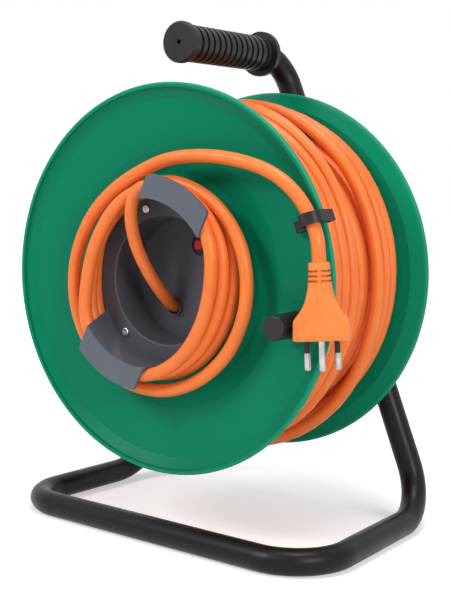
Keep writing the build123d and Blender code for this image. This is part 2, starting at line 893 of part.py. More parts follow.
with BuildPart() as crank_knob:
    with BuildSketch(drum_front.offset(knob_boss_top + knob_gap)):
        with Locations(knob_point):
            Circle(knob_base_radius)
    with BuildSketch(drum_front.offset(knob_tip)):
        with Locations(knob_point):
            Circle(knob_tip_radius)
    loft()
    fillet(crank_knob.faces().sort_by(Axis.Y)[0].edges(), knob_edge)
    with BuildSketch(drum_front.offset(knob_boss_top + knob_gap)):
        with Locations(knob_point):
            Circle(pin_radius + running_gap)
    extrude(amount=knob_tip - knob_end_wall - knob_boss_top - knob_gap, mode=Mode.SUBTRACT)
save(crank_knob, "crank_knob")

# ---- Cable clip that snaps over the rim ----
clip_across = polar(1, clip_angle)
clip_plane = Plane(
    origin=place(0, 0, 0),
    x_dir=(clip_across[0], 0, clip_across[1]),
    z_dir=(clip_across[1], 0, -clip_across[0]),
)
clip_inner = cable_radius + clip_clearance
clip_outer = clip_inner + clip_strap
foot_base = web_depth + dish_depth + face_rise + seat_gap
foot_end = clip_cable_ring - clip_inner
foot_lift = flare_rise * (foot_end - flare_radius) / (flange_radius - lip_width - flare_radius)
hook_top = rim_depth - lip_height - flange_wall - clip_snap_gap

with BuildPart() as cable_clip:
    with BuildSketch(clip_plane):
        with BuildLine():
            Polyline(
                (clip_cable_ring + clip_inner, clip_cable_depth),
                (clip_cable_ring + clip_inner, hook_top),
                (flange_radius - clip_hook, hook_top),
                (flange_radius - clip_hook, hook_top - clip_strap),
                (clip_cable_ring + clip_outer, hook_top - clip_strap),
                (clip_cable_ring + clip_outer, clip_cable_depth),
            )
            ThreePointArc(
                (clip_cable_ring + clip_outer, clip_cable_depth),
                (clip_cable_ring, clip_cable_depth + clip_outer),
                (clip_cable_ring - clip_outer, clip_cable_depth),
            )
            Polyline(
                (clip_cable_ring - clip_outer, clip_cable_depth),
                (clip_cable_ring - clip_outer, foot_base + clip_foot_height),
                (clip_cable_ring - clip_outer - clip_foot, foot_base + clip_foot_height),
                (clip_cable_ring - clip_outer - clip_foot, foot_base),
                (flare_radius, foot_base),
                (foot_end, foot_base + foot_lift),
                (foot_end, clip_cable_depth),
            )
            ThreePointArc(
                (foot_end, clip_cable_depth),
                (clip_cable_ring, clip_cable_depth + clip_inner),
                (clip_cable_ring + clip_inner, clip_cable_depth),
            )
        make_face()
    extrude(amount=clip_width / 2, both=True)
save(cable_clip, "cable_clip")

# ---- Plug ----
plug_level = Vector(cos(radians(plug_turn)), sin(radians(plug_turn)), 0)
plug_along = Vector(0, 0, cos(radians(plug_tilt))) - plug_level * sin(radians(plug_tilt))
plug_across = plug_level * cos(radians(plug_tilt)) + Vector(0, 0, sin(radians(plug_tilt)))
plug_start = place(plug_top[0], plug_top[1], plug_depth)
plug_top_plane = Plane(origin=plug_start, x_dir=plug_across, z_dir=plug_along)
plug_axis = Axis(plug_start, plug_along)
plug_sections = [
    (0.0, *plug_top_section),
    (plug_neck_end, *plug_neck_section),
    (plug_shoulder, *plug_shoulder_section),
    (plug_length, *plug_foot_section),
]


def eight_sides(flat, thickness, width, edge):
    """Corners of a flattened octagon from its half sizes."""
    return [
        (flat, thickness),
        (width, edge),
        (width, -edge),
        (flat, -thickness),
        (-flat, -thickness),
        (-width, -edge),
        (-width, edge),
        (-flat, thickness),
    ]


with BuildPart() as plug_body:
    for drop, flat, thickness, width, edge in plug_sections:
        with BuildSketch(plug_top_plane.offset(-drop)):
            with BuildLine():
                Polyline(*eight_sides(flat, thickness, width, edge), close=True)
            make_face()
    loft(ruled=True)
    for slot in range(plug_slots):
        slot_drop = plug_slot_first + slot * plug_slot_pitch
        with BuildSketch(plug_top_plane.offset(-slot_drop - plug_slot_height / 2)):
            Rectangle(plug_slot_reach, plug_slot_reach)
            Rectangle(*plug_slot_core, mode=Mode.SUBTRACT)
            Rectangle(2 * plug_slot_web, plug_slot_reach, mode=Mode.SUBTRACT)
        extrude(amount=plug_slot_height, mode=Mode.SUBTRACT)
    with BuildSketch(plug_top_plane.offset(-plug_length)):
        with GridLocations(prong_spacing, 1, 2, 1):
            Circle(prong_core)
        with Locations((0, -earth_offset)):
            Circle(prong_core)
    extrude(amount=prong_root, mode=Mode.SUBTRACT)
save(plug_body, "plug_body")

with BuildPart() as line_prongs:
    with BuildSketch(plug_top_plane.offset(-plug_length - prong_length)):
        with GridLocations(prong_spacing, 1, 2, 1):
            Circle(prong_radius)
    extrude(amount=prong_length - sleeve_length)
    fillet(line_prongs.faces().group_by(plug_axis)[0].edges(), prong_round)
    with BuildSketch(plug_top_plane.offset(-plug_length - sleeve_length)):
        with GridLocations(prong_spacing, 1, 2, 1):
            Circle(prong_core)
    extrude(amount=sleeve_length + prong_root)
save(line_prongs, "line_prongs")

with BuildPart() as prong_sleeves:
    with BuildSketch(plug_top_plane.offset(-plug_length)):
        with GridLocations(prong_spacing, 1, 2, 1):
            Circle(sleeve_radius)
            Circle(prong_core, mode=Mode.SUBTRACT)
    extrude(amount=-sleeve_length)
save(prong_sleeves, "prong_sleeves")

with BuildPart() as earth_prong:
    with BuildSketch(plug_top_plane.offset(-plug_length - prong_length)):
        with Locations((0, -earth_offset)):
            Circle(prong_radius)
    extrude(amount=prong_length)
    fillet(earth_prong.faces().sort_by(plug_axis)[0].edges(), prong_round)
    with BuildSketch(plug_top_plane.offset(-plug_length)):
        with Locations((0, -earth_offset)):
            Circle(prong_core)
    extrude(amount=prong_root)
save(earth_prong, "earth_prong")

# ---- Coupler on the winding's outer end ----
coupler_ring = winding_radius + seat_gap + coupler_thickness / 2
coupler_middle = polar(coupler_ring, coupler_angle)
coupler_out = polar(1, coupler_angle)
coupler_face = Plane(
    origin=place(*coupler_middle, 0),
    x_dir=(0, -1, 0),
    z_dir=(-coupler_out[1], 0, coupler_out[0]),
).offset(coupler_length / 2 + coupler_lead)


def coupler_holes(radius):
    """The three contact places in the coupler's face."""
    with BuildSketch(coupler_face) as holes:
        with GridLocations(prong_spacing, 1, 2, 1):
            Circle(radius)
        with Locations((0, -earth_offset)):
            Circle(radius)
    return holes.sketch


with BuildPart() as coupler_body:
    with BuildSketch(coupler_face.offset(-coupler_length)):
        RectangleRounded(coupler_width, coupler_thickness, coupler_edge)
    extrude(amount=coupler_length)
    chamfer(coupler_body.faces().sort_by_distance(coupler_face.origin)[-1].edges(), coupler_edge / 2)
    with BuildSketch(coupler_face.offset(-coupler_length)):
        Circle(coupler_neck_radius)
    with BuildSketch(coupler_face.offset(-coupler_length - coupler_neck)):
        Circle(coupler_neck_tip)
    loft()
    extrude(coupler_holes(coupler_hole_radius), amount=-coupler_recess, mode=Mode.SUBTRACT)
    contact_start = coupler_holes(contact_radius + contact_wall)
    extrude(
        contact_start.moved(Location(coupler_face.z_dir * -coupler_recess)),
        amount=-contact_length - contact_end_gap,
        mode=Mode.SUBTRACT,
    )
save(coupler_body, "coupler_body")

with BuildPart() as coupler_contacts:
    with BuildSketch(coupler_face.offset(-coupler_recess)):
        with GridLocations(prong_spacing, 1, 2, 1):
            Circle(contact_radius + contact_wall)
            Circle(contact_radius, mode=Mode.SUBTRACT)
        with Locations((0, -earth_offset)):
            Circle(contact_radius + contact_wall)
            Circle(contact_radius, mode=Mode.SUBTRACT)
    extrude(amount=-contact_length)
save(coupler_contacts, "coupler_contacts")

# ---- Cables: the lead from the hub to the plug, and the winding to the coupler ----
lead_inner = [
    place(*exit_point, 15.0),
    place(*exit_point, 62.0),
    place(-17.5, 22.0, 79.0),
    place(-18.5, 50.0, 82.0),
    place(-7.0, 67.5, 83.0),
]
lead_outer_polar = [
    (82, 66.0, 78.0),
    (52, 81.5, 76.0),
    (14, 82.0, 74.5),
    (-24, 79.0, 74.5),
    (-62, 79.5, 75.5),
    (-98, 80.5, 76.5),
    (-134, 80.5, 76.0),
    (-170, 81.5, 75.0),
    (152, 79.0, 75.5),
    (118, 81.0, 77.0),
    (92, 86.5, 77.5),
    (70, 97.0, 77.0),
    (50, 112.5, 75.8),
    (37, 122.7, 73.9),
]
lead_outer = [place(*polar(radius, angle), depth) for angle, radius, depth in lead_outer_polar]
lead_outer += [
    place(115.8, 55.9, 73.4),
    place(126.4, 41.1, 77.1),
    plug_start + plug_along * plug_lead,
    plug_start,
]
cord_tube(lead_inner, "lead_inner")
cord_tube(lead_outer, "lead_outer")

with BuildPart() as lead_coil:
    with BuildSketch(drum_front.offset(web_depth + coil_gap)):
        Circle(coil_outer)
        Circle(hub_radius + coil_gap, mode=Mode.SUBTRACT)
    extrude(amount=coil_front - web_depth - coil_gap)
save(lead_coil, "lead_coil")

with BuildPart() as winding:
    with BuildSketch(drum_front.offset(-web_back + winding_gap)):
        Circle(winding_radius)
        Circle(barrel_radius + winding_gap / 2, mode=Mode.SUBTRACT)
    extrude(amount=2 * (web_back - winding_gap))
save(winding, "winding")

with BuildPart() as winding_inlet:
    with BuildSketch(inlet_plane.offset(inlet_start)):
        Circle(cable_radius)
    extrude(amount=barrel_radius - inlet_start)
save(winding_inlet, "winding_inlet")

coupler_tail = coupler_face.origin - coupler_face.z_dir * (coupler_length + coupler_neck)
winding_tail = [
    place(*polar(winding_radius - cable_radius, coupler_angle - 60), 12.0),
    place(*polar(120.5, coupler_angle - 48), 9.0),
    place(*polar(132.2, coupler_angle - 34.3), 4.0),
    place(*polar(137.1, coupler_angle - 27.2), 1.5),
    coupler_tail - coupler_face.z_dir * 18.0,
    coupler_tail,
]
cord_tube(winding_tail, "winding_tail")
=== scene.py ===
"""Looks of the extension cord reel: its cables, plug, reset spring, materials, light and camera."""
import json
import math
import random

import bpy
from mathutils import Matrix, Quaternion, Vector


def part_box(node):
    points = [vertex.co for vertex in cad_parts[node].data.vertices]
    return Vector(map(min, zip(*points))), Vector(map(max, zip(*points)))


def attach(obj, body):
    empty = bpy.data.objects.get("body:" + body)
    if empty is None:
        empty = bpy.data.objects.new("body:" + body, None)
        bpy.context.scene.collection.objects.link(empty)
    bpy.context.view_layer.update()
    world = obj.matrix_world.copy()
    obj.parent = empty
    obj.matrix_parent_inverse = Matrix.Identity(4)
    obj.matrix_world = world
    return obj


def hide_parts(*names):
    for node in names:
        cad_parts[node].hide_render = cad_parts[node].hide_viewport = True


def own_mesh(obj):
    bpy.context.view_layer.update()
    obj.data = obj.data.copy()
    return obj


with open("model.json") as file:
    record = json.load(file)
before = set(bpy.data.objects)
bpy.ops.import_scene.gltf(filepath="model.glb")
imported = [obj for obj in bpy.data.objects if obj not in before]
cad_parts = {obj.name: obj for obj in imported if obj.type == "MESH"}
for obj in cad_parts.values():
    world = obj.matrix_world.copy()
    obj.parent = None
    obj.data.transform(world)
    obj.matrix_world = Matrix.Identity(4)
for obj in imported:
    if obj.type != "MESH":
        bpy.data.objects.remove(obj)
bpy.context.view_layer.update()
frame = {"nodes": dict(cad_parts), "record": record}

# Lengths are in metres where no comment says millimetres.
# Angles are in degrees, seen from the front: 0 points right, 90 up.
AXIS_HEIGHT = 0.182
MIDDLE_Y = 0.0041887
CABLE = 0.009
# Millimetres in a metre.
MM = 1000
TURN_STEPS = 12
STEP_ANGLE = 360 // TURN_STEPS
# A cable laid along twelve points a turn runs inside them, so their rings are widened by this much.
WIDENING = 1 / math.cos(math.radians(STEP_ANGLE / 2))


def place(right, up, depth):
    """A point given from the drum's centre, ahead of its middle plane by depth."""
    return (right, MIDDLE_Y - depth, AXIS_HEIGHT + up)


def ring(angle, radius, depth):
    """A point at an angle and radius about the drum's axis."""
    turn = math.radians(angle)
    return place(radius * math.cos(turn), radius * math.sin(turn), depth)


def add(name, data):
    """A new object in the scene."""
    thing = bpy.data.objects.new(name, data)
    bpy.context.scene.collection.objects.link(thing)
    return thing


# ---- Camera, at the photograph's viewing angle ----
CAMERA_PLACE = (0.5234, -0.7342, 0.2547)
CAMERA_AIM = (-0.57183, 0.81422, -0.10036)
CAMERA_ROLL = 0.5
FOCAL_LENGTH_MM = 74.5
SENSOR_WIDTH_MM = 36.0

lens = bpy.data.cameras.new("view")
lens.lens = FOCAL_LENGTH_MM
lens.sensor_width = SENSOR_WIDTH_MM
camera = add("view", lens)
camera.location = CAMERA_PLACE
aim = Vector(CAMERA_AIM).to_track_quat("-Z", "Y")
camera.rotation_euler = (aim @ Quaternion((0, 0, 1), math.radians(CAMERA_ROLL))).to_euler()
bpy.context.scene.camera = camera


# ---- Cables ----
def cable(name, points, resolution):
    """A cable along one smooth spline through space."""
    data = bpy.data.curves.new(name, "CURVE")
    data.dimensions = "3D"
    # The cable's radius is this depth times the radius at each point.
    data.bevel_depth = 1.0
    data.bevel_resolution = 5
    data.use_fill_caps = True
    spline = data.splines.new("NURBS")
    spline.points.add(len(points) - 1)
    for knot, point in zip(spline.points, points):
        knot.co = (*point, 1)
        knot.radius = CABLE / 2
    spline.order_u = 3
    spline.use_endpoint_u = True
    spline.resolution_u = resolution
    piece = add(name, data)
    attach(piece, "drum")
    return piece


# The lead comes out of the cup's floor, makes three tight turns round the horns and a loose one,
# and runs through the clip into the plug.
PLUG_TOP = place(0.1303, 0.0194, 0.0784)
# Rings in millimetres of the tight turns, from the front one to the deepest, at each twelfth of a turn.
TURN_RINGS = (
    (64.6, 59.8, 52.6, 52.0, 57.0, 63.8, 65.4, 62.4, 51.0, 51.4, 60.4, 65.4),
    (64.6, 61.8, 56.4, 55.8, 59.4, 63.8, 65.4, 62.6, 54.8, 55.8, 60.6, 64.8),
    (64.6, 64.2, 60.5, 59.4, 62.2, 64.8, 65.4, 63.6, 58.2, 60.2, 63.8, 67.0),
)
TIGHT_START = 60
# Depths of the turns at the horns, the last one being the loose turn's, and of the tight turns between them.
HORN_DEPTHS = (0.0860, 0.0770, 0.0680, 0.0718)
SIDE_DEPTHS = (0.0870, 0.0786, 0.0704)
# How far each twelfth of a turn keeps to the depth at the horns, and then to the next turn's depth there.
HORN_SHARE = (1, 0.5, 0, 0, 0, 0.5, 1, 0.5, 0, 0, 0, 0)
NEXT_SHARE = (0, 0, 0, 0, 0, 0, 0, 0, 0, 0.15, 0.75, 1)
# The loose turn and the way to the clip: angle, ring and depth.
LOOSE_TURN = (
    (66, 0.0712, 0.0730),
    (42, 0.0738, 0.0745),
    (18, 0.0764, 0.0755),
    (-8, 0.0765, 0.0755),
    (-34, 0.0762, 0.0755),
    (-60, 0.0760, 0.0760),
    (-86, 0.0770, 0.0760),
    (-112, 0.0785, 0.0760),
    (-138, 0.0785, 0.0758),
    (-164, 0.0778, 0.0757),
    (170, 0.0755, 0.0757),
    (144, 0.0732, 0.0758),
    (120, 0.0728, 0.0762),
    (101, 0.0756, 0.0765),
    (85, 0.0830, 0.0768),
    (70, 0.0908, 0.0768),
    (57, 0.1006, 0.0765),
    (46, 0.1114, 0.0757),
    (37.5, 0.1202, 0.0746),
    (30, 0.1258, 0.0740),
)

lead_points = [
    place(-0.0105, -0.0210, 0.0320),
    place(-0.0103, -0.0207, 0.0425),
    place(-0.0102, -0.0147, 0.0505),
    place(-0.0131, -0.0043, 0.0590),
    place(-0.0162, 0.0070, 0.0658),
    place(-0.0191, 0.0212, 0.0727),
    place(-0.0194, 0.0358, 0.0783),
    place(-0.0170, 0.0487, 0.0825),
    place(-0.0110, 0.0602, 0.0855),
    place(-0.0012, 0.0658, 0.0860),
]
for turn, rings in enumerate(TURN_RINGS):
    for step, radius in enumerate(rings):
        depth = SIDE_DEPTHS[turn]
        depth += (HORN_DEPTHS[turn] - depth) * HORN_SHARE[step]
        depth += (HORN_DEPTHS[turn + 1] - depth) * NEXT_SHARE[step]
        lead_points.append(ring(TIGHT_START - STEP_ANGLE * step, radius * WIDENING / MM, depth))
lead_points += [ring(*point) for point in LOOSE_TURN]
lead_points += [
    place(0.1174, 0.0530, 0.0745),
    place(0.1243, 0.0430, 0.0765),
    place(0.1285, 0.0345, 0.0780),
    place(0.1299, 0.0275, 0.0786),
    PLUG_TOP,
]
lead = cable("lead", lead_points, 8)
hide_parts("lead_inner", "lead_coil", "lead_outer")

# The long cable: nested layers from the barrel outwards, then loose turns on top from the rear forwards.
LAYERS = 6
LAYER_TURNS = 12
LAYER_RISE = 0.0078
PITCH = 0.009
FIRST_RING = 0.06675
INLET = 205
INLET_DEPTH = -0.030
WINDING_START = INLET + 20
# The loose turns: depth, ring, how far the turn stands off over the top and under the bottom,
# and how far it bows forward on the right.
TOP_TURNS = (
    (-0.0510, 0.1105, 0.0080, 0.0030, -0.0010),
    (-0.0385, 0.1115, 0.0100, 0.0050, -0.0030),
    (-0.0190, 0.1140, 0.0100, 0.0120, -0.0055),
    (0.0022, 0.1122, 0.0104, 0.0070, 0.0058),
    (0.0135, 0.1122, 0.0060, 0.0040, 0.0050),
    (0.0240, 0.1120, 0.0030, 0.0020, 0.0045),
    (0.0355, 0.1120, 0.0000, 0.0000, 0.0030),
)
OVER_PEAK = 80
UNDER_PEAK = -75
LOOSE_SPREAD = 0.0004
LAST_TURN_STEPS = 8
# A turn starts to move over to the next one's place after so many steps, and takes so many for it.
MOVE_START = 8.5
MOVE_STEPS = 2.5


def towards(angle, peak):
    """One at the peak's angle, and nought from a quarter turn away."""
    return max(0, math.cos(math.radians(angle - peak))) ** 2


# Every turn of the winding, as rows like those of TOP_TURNS.
columns = []
for layer in range(LAYERS):
    turns = LAYER_TURNS - layer % 2
    depths = [(i - (turns - 1) / 2) * PITCH for i in range(turns)]
    if layer == 0:
        # The cable comes in ahead of the two rearmost places, which stay empty.
        depths = depths[2:]
    if layer % 2:
        depths.reverse()
    columns += [(depth, FIRST_RING + layer * LAYER_RISE, 0, 0, 0) for depth in depths]
first_loose = len(columns)
columns += TOP_TURNS
last_turn = len(columns) - 1

chance = random.Random(7)
winding_points = [
    ring(INLET, 0.040, INLET_DEPTH),
    ring(INLET, 0.054, INLET_DEPTH),
    ring(INLET + 5, 0.0645, INLET_DEPTH - 0.0005),
]
for number, column in enumerate(columns):
    following = columns[min(number + 1, last_turn)]
    loose = LOOSE_SPREAD if number >= first_loose else 0.0
    for step in range(TURN_STEPS if number < last_turn else LAST_TURN_STEPS):
        angle = WINDING_START + STEP_ANGLE * step
        # Each turn moves over to the next one's place while it comes down the left side.
        share = min(1, max(0, (step - MOVE_START) / MOVE_STEPS))
        depth, radius, over, under, bow = (a + (b - a) * share for a, b in zip(column, following))
        depth += bow * math.cos(math.radians(angle))
        radius += over * towards(angle, OVER_PEAK)
        radius += under * towards(angle, UNDER_PEAK)
        radius += chance.uniform(0, loose)
        depth += chance.uniform(-loose, loose)
        winding_points.append(ring(angle, radius * WIDENING, depth))
winding_points += [
    ring(98, 0.1125, 0.0130),
    ring(110, 0.1205, 0.0090),
    ring(123.7, 0.1322, 0.0040),
    ring(130.8, 0.1371, 0.0015),
    place(-0.1010, 0.0926, 0),
    place(-0.1077, 0.0759, 0),
]
winding = cable("winding_cable", winding_points, 5)
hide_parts("winding", "winding_inlet", "winding_tail")


def skin(name, outlines):
    """A closed mesh through outlines of points, each right-handed about the way to the next."""
    around = len(outlines[0])
    last = (len(outlines) - 1) * around
    faces = [tuple(reversed(range(around))), tuple(range(last, last + around))]
    for first in range(0, last, around):
        for i in range(around):
            j = (i + 1) % around
            faces.append((first + i, first + j, first + around + j, first + around + i))
    mesh = bpy.data.meshes.new(name)
    mesh.from_pydata([point for outline in outlines for point in outline], [], faces)
    mesh.shade_smooth()
    return mesh


# ---- Plug ----
PLUG_TURN = math.radians(28)
PLUG_TILT = math.radians(3)
sideways = Vector((math.cos(PLUG_TURN), math.sin(PLUG_TURN), 0))
plug_along = Vector((0, 0, math.cos(PLUG_TILT))) - sideways * math.sin(PLUG_TILT)
plug_across = sideways * math.cos(PLUG_TILT) + Vector((0, 0, math.sin(PLUG_TILT)))
plug_facing = Vector((math.sin(PLUG_TURN), -math.cos(PLUG_TURN), 0))
# The plug's sizes are in millimetres. Each row: distance below the top, half width, half thickness.
PLUG_OUTLINE = (
    (0.0, 6.5, 5.4),
    (10.0, 7.0, 5.7),
    (17.0, 7.8, 6.0),
    (21.0, 8.7, 6.3),
    (25.0, 10.0, 6.7),
    (29.0, 12.0, 7.1),
    (32.5, 14.6, 7.4),
    (35.0, 16.7, 7.6),
    (36.6, 17.4, 7.6),
    (48.5, 17.9, 7.6),
)
CORNER = 3.2
CORNER_STEPS = 5
SLOT_DROPS = (5.2, 8.3, 11.4)
SLOT_HEIGHT = 1.4
SLOT_DEPTH = 1.5
SLOT_SLOPE = 0.1
# A web crosses the slots on each face: half its width, and how far its flanks spread.
WEB = 1.1
WEB_SLOPE = 0.15
# Both ends are rounded. Each row: distance below the top, inset.
TOP_ROUNDING = ((0.0, 1.0), (0.3, 0.3), (1.0, 0.0))
END_ROUNDING = ((48.3, 0.3), (48.5, 1.0))
BODY_DROPS = (14, 17, 19, 21, 23, 25, 27, 29, 31, 32.5, 34, 35, 36, 36.6, 38, 43, 47.7)
SHARP_EDGE = math.radians(32)


def plug_size(drop):
    """Half width and half thickness at a distance below the top."""
    for (above, *first), (below, *second) in zip(PLUG_OUTLINE, PLUG_OUTLINE[1:]):
        if drop <= below:
            share = (drop - above) / (below - above)
            return [a + (b - a) * share for a, b in zip(first, second)]
    return PLUG_OUTLINE[-1][1:]


def plug_ring(drop, inset=0.0, web=False):
    """The plug's outline at a distance below the top: four rounded corners, and a web on each face."""
    width, thick = (size - inset for size in plug_size(drop))
    raised = thick + inset if web else thick
    flat = []
    for corner, (side, face) in enumerate(((1, 1), (-1, 1), (-1, -1), (1, -1))):
        for step in range(CORNER_STEPS + 1):
            turn = math.radians(90 * corner + 90 / CORNER_STEPS * step)
            x = side * (width - CORNER) + CORNER * math.cos(turn)
            y = face * (thick - CORNER) + CORNER * math.sin(turn)
            flat.append((x, y))
        if corner % 2 == 0:
            web_points = ((WEB + WEB_SLOPE, thick), (WEB, raised), (-WEB, raised), (-WEB - WEB_SLOPE, thick))
            flat += [(face * x, face * y) for x, y in web_points]
    top = Vector(PLUG_TOP)
    return [top - (plug_along * drop - plug_across * x - plug_facing * y) / MM for x, y in flat]


plug_rings = [plug_ring(*row) for row in TOP_ROUNDING]
for middle in SLOT_DROPS:
    above = middle - SLOT_HEIGHT / 2
    below = middle + SLOT_HEIGHT / 2
    plug_rings.append(plug_ring(above))
    plug_rings.append(plug_ring(above + SLOT_SLOPE, SLOT_DEPTH, True))
    plug_rings.append(plug_ring(below - SLOT_SLOPE, SLOT_DEPTH, True))
    plug_rings.append(plug_ring(below))
plug_rings += [plug_ring(drop) for drop in BODY_DROPS]
plug_rings += [plug_ring(*row) for row in END_ROUNDING]
plug_mesh = skin("plug", plug_rings)
plug_mesh.set_sharp_from_angle(angle=SHARP_EDGE)
plug = add("plug", plug_mesh)
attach(plug, "drum")
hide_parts("plug_body")

# ---- Reset spring, built at one fixed length; the real one shortens as the button is pressed ----
SPRING_WIRE = 0.00035
SPRING_COILS = 4
COIL_STEPS = 24
WIRE_STEPS = 8
low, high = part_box("reset_spring")
spring_length = high.y - low.y
spring_middle = (low + high) / 2
spring_radius = (high.x - low.x) / 2 - SPRING_WIRE
spring_steps = SPRING_COILS * COIL_STEPS
spring_rings = []
for step in range(spring_steps + 1):
    turn = math.radians(360 / COIL_STEPS) * step
    along = high.y - SPRING_WIRE - (spring_length - 2 * SPRING_WIRE) * step / spring_steps
    outward = Vector((math.cos(turn), 0, math.sin(turn)))
    outline = []
    for side in range(WIRE_STEPS):
        bend = math.radians(360 / WIRE_STEPS) * side
        point = spring_middle + outward * (spring_radius + SPRING_WIRE * math.cos(bend))
        outline.append((point.x, along + SPRING_WIRE * math.sin(bend), point.z))
    spring_rings.append(outline)
spring = add("button_spring", skin("button_spring", spring_rings))
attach(spring, "drum")
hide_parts("reset_spring")
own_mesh(spring)


# ---- Materials ----
class Surface:
    """One material's nodes: a Principled shader, and the texture nodes that feed it."""

    def __init__(self, name, colour, roughness, metallic=0.0, specular=0.5):
        self.material = bpy.data.materials.new(name)
        self.material.use_nodes = True
        self.nodes = self.material.node_tree.nodes
        self.links = self.material.node_tree.links
        self.shader = self.nodes["Principled BSDF"]
        self.shader.inputs["Base Color"].default_value = (*colour, 1)
        self.shader.inputs["Roughness"].default_value = roughness
        self.shader.inputs["Metallic"].default_value = metallic
        self.shader.inputs["Specular IOR Level"].default_value = specular
        self.where = self.nodes.new("ShaderNodeTexCoord").outputs["Object"]

    def noise(self, scale, detail, stretch=(1, 1, 1), roughness=0.55):
        """Noise in the part's own space, scale in features per metre."""
        move = self.nodes.new("ShaderNodeMapping")
        move.inputs["Scale"].default_value = stretch
        self.links.new(self.where, move.inputs["Vector"])
        noise = self.nodes.new("ShaderNodeTexNoise")
        noise.inputs["Scale"].default_value = scale
        noise.inputs["Detail"].default_value = detail
        noise.inputs["Roughness"].default_value = roughness
        self.links.new(move.outputs["Vector"], noise.inputs["Vector"])
        return noise.outputs["Fac"]

    def curve(self, value, low, high, start=0.0, end=1.0):
        """The value between low and high, spread to run from start to end."""
        spread = self.nodes.new("ShaderNodeMapRange")
        spread.interpolation_type = "SMOOTHSTEP"
        spread.inputs["From Min"].default_value = low
        spread.inputs["From Max"].default_value = high
        spread.inputs["To Min"].default_value = start
        spread.inputs["To Max"].default_value = end
        self.links.new(value, spread.inputs["Value"])
        return spread.outputs["Result"]

    def math(self, kind, first, second=0.0):
        """One step of arithmetic, on two values or on the first alone."""
        step = self.nodes.new("ShaderNodeMath")
        step.operation = kind
        for socket, value in zip(step.inputs, (first, second)):
            if isinstance(value, (int, float)):
                socket.default_value = value
            else:
                self.links.new(value, socket)
        return step.outputs["Value"]

    def blend(self, amount, first, second):
        """A colour between two, each a colour or a link."""
        mix = self.nodes.new("ShaderNodeMix")
        mix.data_type = "RGBA"
        # Sockets 6 and 7 are the two colours, and output 2 is the mixed one.
        for socket, value in zip(mix.inputs[6:8], (first, second)):
            if isinstance(value, tuple):
                socket.default_value = (*value, 1)
            else:
                self.links.new(value, socket)
        self.links.new(amount, mix.inputs[0])
        return mix.outputs[2]

    def position(self):
        """Outputs X, Y and Z of the place in the part's own space."""
        split = self.nodes.new("ShaderNodeSeparateXYZ")
        self.links.new(self.where, split.inputs["Vector"])
        return split.outputs

    def distance(self, first, second):
        """The long side of a right-angled triangle whose short sides are the two values."""
        squares = [self.math("MULTIPLY", value, value) for value in (first, second)]
        return self.math("SQRT", self.math("ADD", *squares))

    def mottle(self, first, second, scale, detail):
        """A colour that drifts softly between two."""
        return self.blend(self.curve(self.noise(scale, detail), 0.35, 0.65), first, second)

    def uneven(self, scale, detail, low, high):
        """A value that drifts softly from low to high."""
        return self.curve(self.noise(scale, detail), 0.3, 0.7, low, high)

    def colour(self, link):
        """Feed the base colour."""
        self.links.new(link, self.shader.inputs["Base Color"])

    def wear(self, marks, strength, tint, worn):
        """Feed the base colour with a tint, and with the worn colour where the marks are."""
        self.colour(self.blend(self.math("MULTIPLY", marks, strength), tint, worn))

    def rough(self, link):
        """Feed the roughness."""
        self.links.new(link, self.shader.inputs["Roughness"])

    def bump(self, height, strength, distance):
        """A bump from a height, laid on the bump that is there already."""
        bump = self.nodes.new("ShaderNodeBump")
        bump.inputs["Strength"].default_value = strength
        bump.inputs["Distance"].default_value = distance
        self.links.new(height, bump.inputs["Height"])
        if self.shader.inputs["Normal"].links:
            self.links.new(self.shader.inputs["Normal"].links[0].from_socket, bump.inputs["Normal"])
        self.links.new(bump.outputs["Normal"], self.shader.inputs["Normal"])


def linear(channel):
    """A screen's channel, 0 to 255, made linear."""
    if channel < 11:
        return channel / 255 / 12.92
    return ((channel / 255 + 0.055) / 1.055) ** 2.4


def srgb(red, green, blue):
    """A colour as a screen writes it, made linear."""
    return tuple(linear(channel) for channel in (red, green, blue))


def darker(colour, share):
    """The colour at a share of its brightness."""
    return tuple(channel * share for channel in colour)


# Heights of the bumps: grain, paint peel, and waves in a large moulding.
GRAIN_HEIGHT = 0.0001
PEEL_HEIGHT = 0.0004
WAVE_HEIGHT = 0.002


def moulded(name, colour, worn, roughness, grain_scale=1600, grain=0.12):
    """Moulded plastic: faint cloudiness, fine grain, light scuffs."""
    surface = Surface(name, colour, roughness, specular=0.25)
    scuff = surface.curve(surface.noise(90, 8, (1, 1, 3), 0.7), 0.60, 0.72)
    surface.wear(scuff, 0.35, surface.mottle(colour, darker(colour, 0.9), 14, 4), worn)
    uneven = surface.uneven(60, 5, roughness - 0.04, roughness + 0.05)
    surface.rough(surface.math("ADD", uneven, surface.math("MULTIPLY", scuff, 0.08)))
    surface.bump(surface.noise(grain_scale, 2), grain, GRAIN_HEIGHT)
    return surface


def metal(name, colour, roughness, stretch):
    """Plated metal with fine drawn lines and duller patches."""
    surface = Surface(name, colour, roughness, 1.0)
    lines = surface.noise(900, 4, stretch, 0.6)
    dull = surface.curve(surface.noise(160, 5), 0.35, 0.7)
    surface.colour(surface.blend(dull, colour, darker(colour, 0.8)))
    uneven = surface.curve(lines, 0.3, 0.7, roughness - 0.05, roughness + 0.08)
    surface.rough(surface.math("ADD", surface.math("MULTIPLY", dull, 0.12), uneven))
    surface.bump(lines, 0.15, GRAIN_HEIGHT)
    return surface


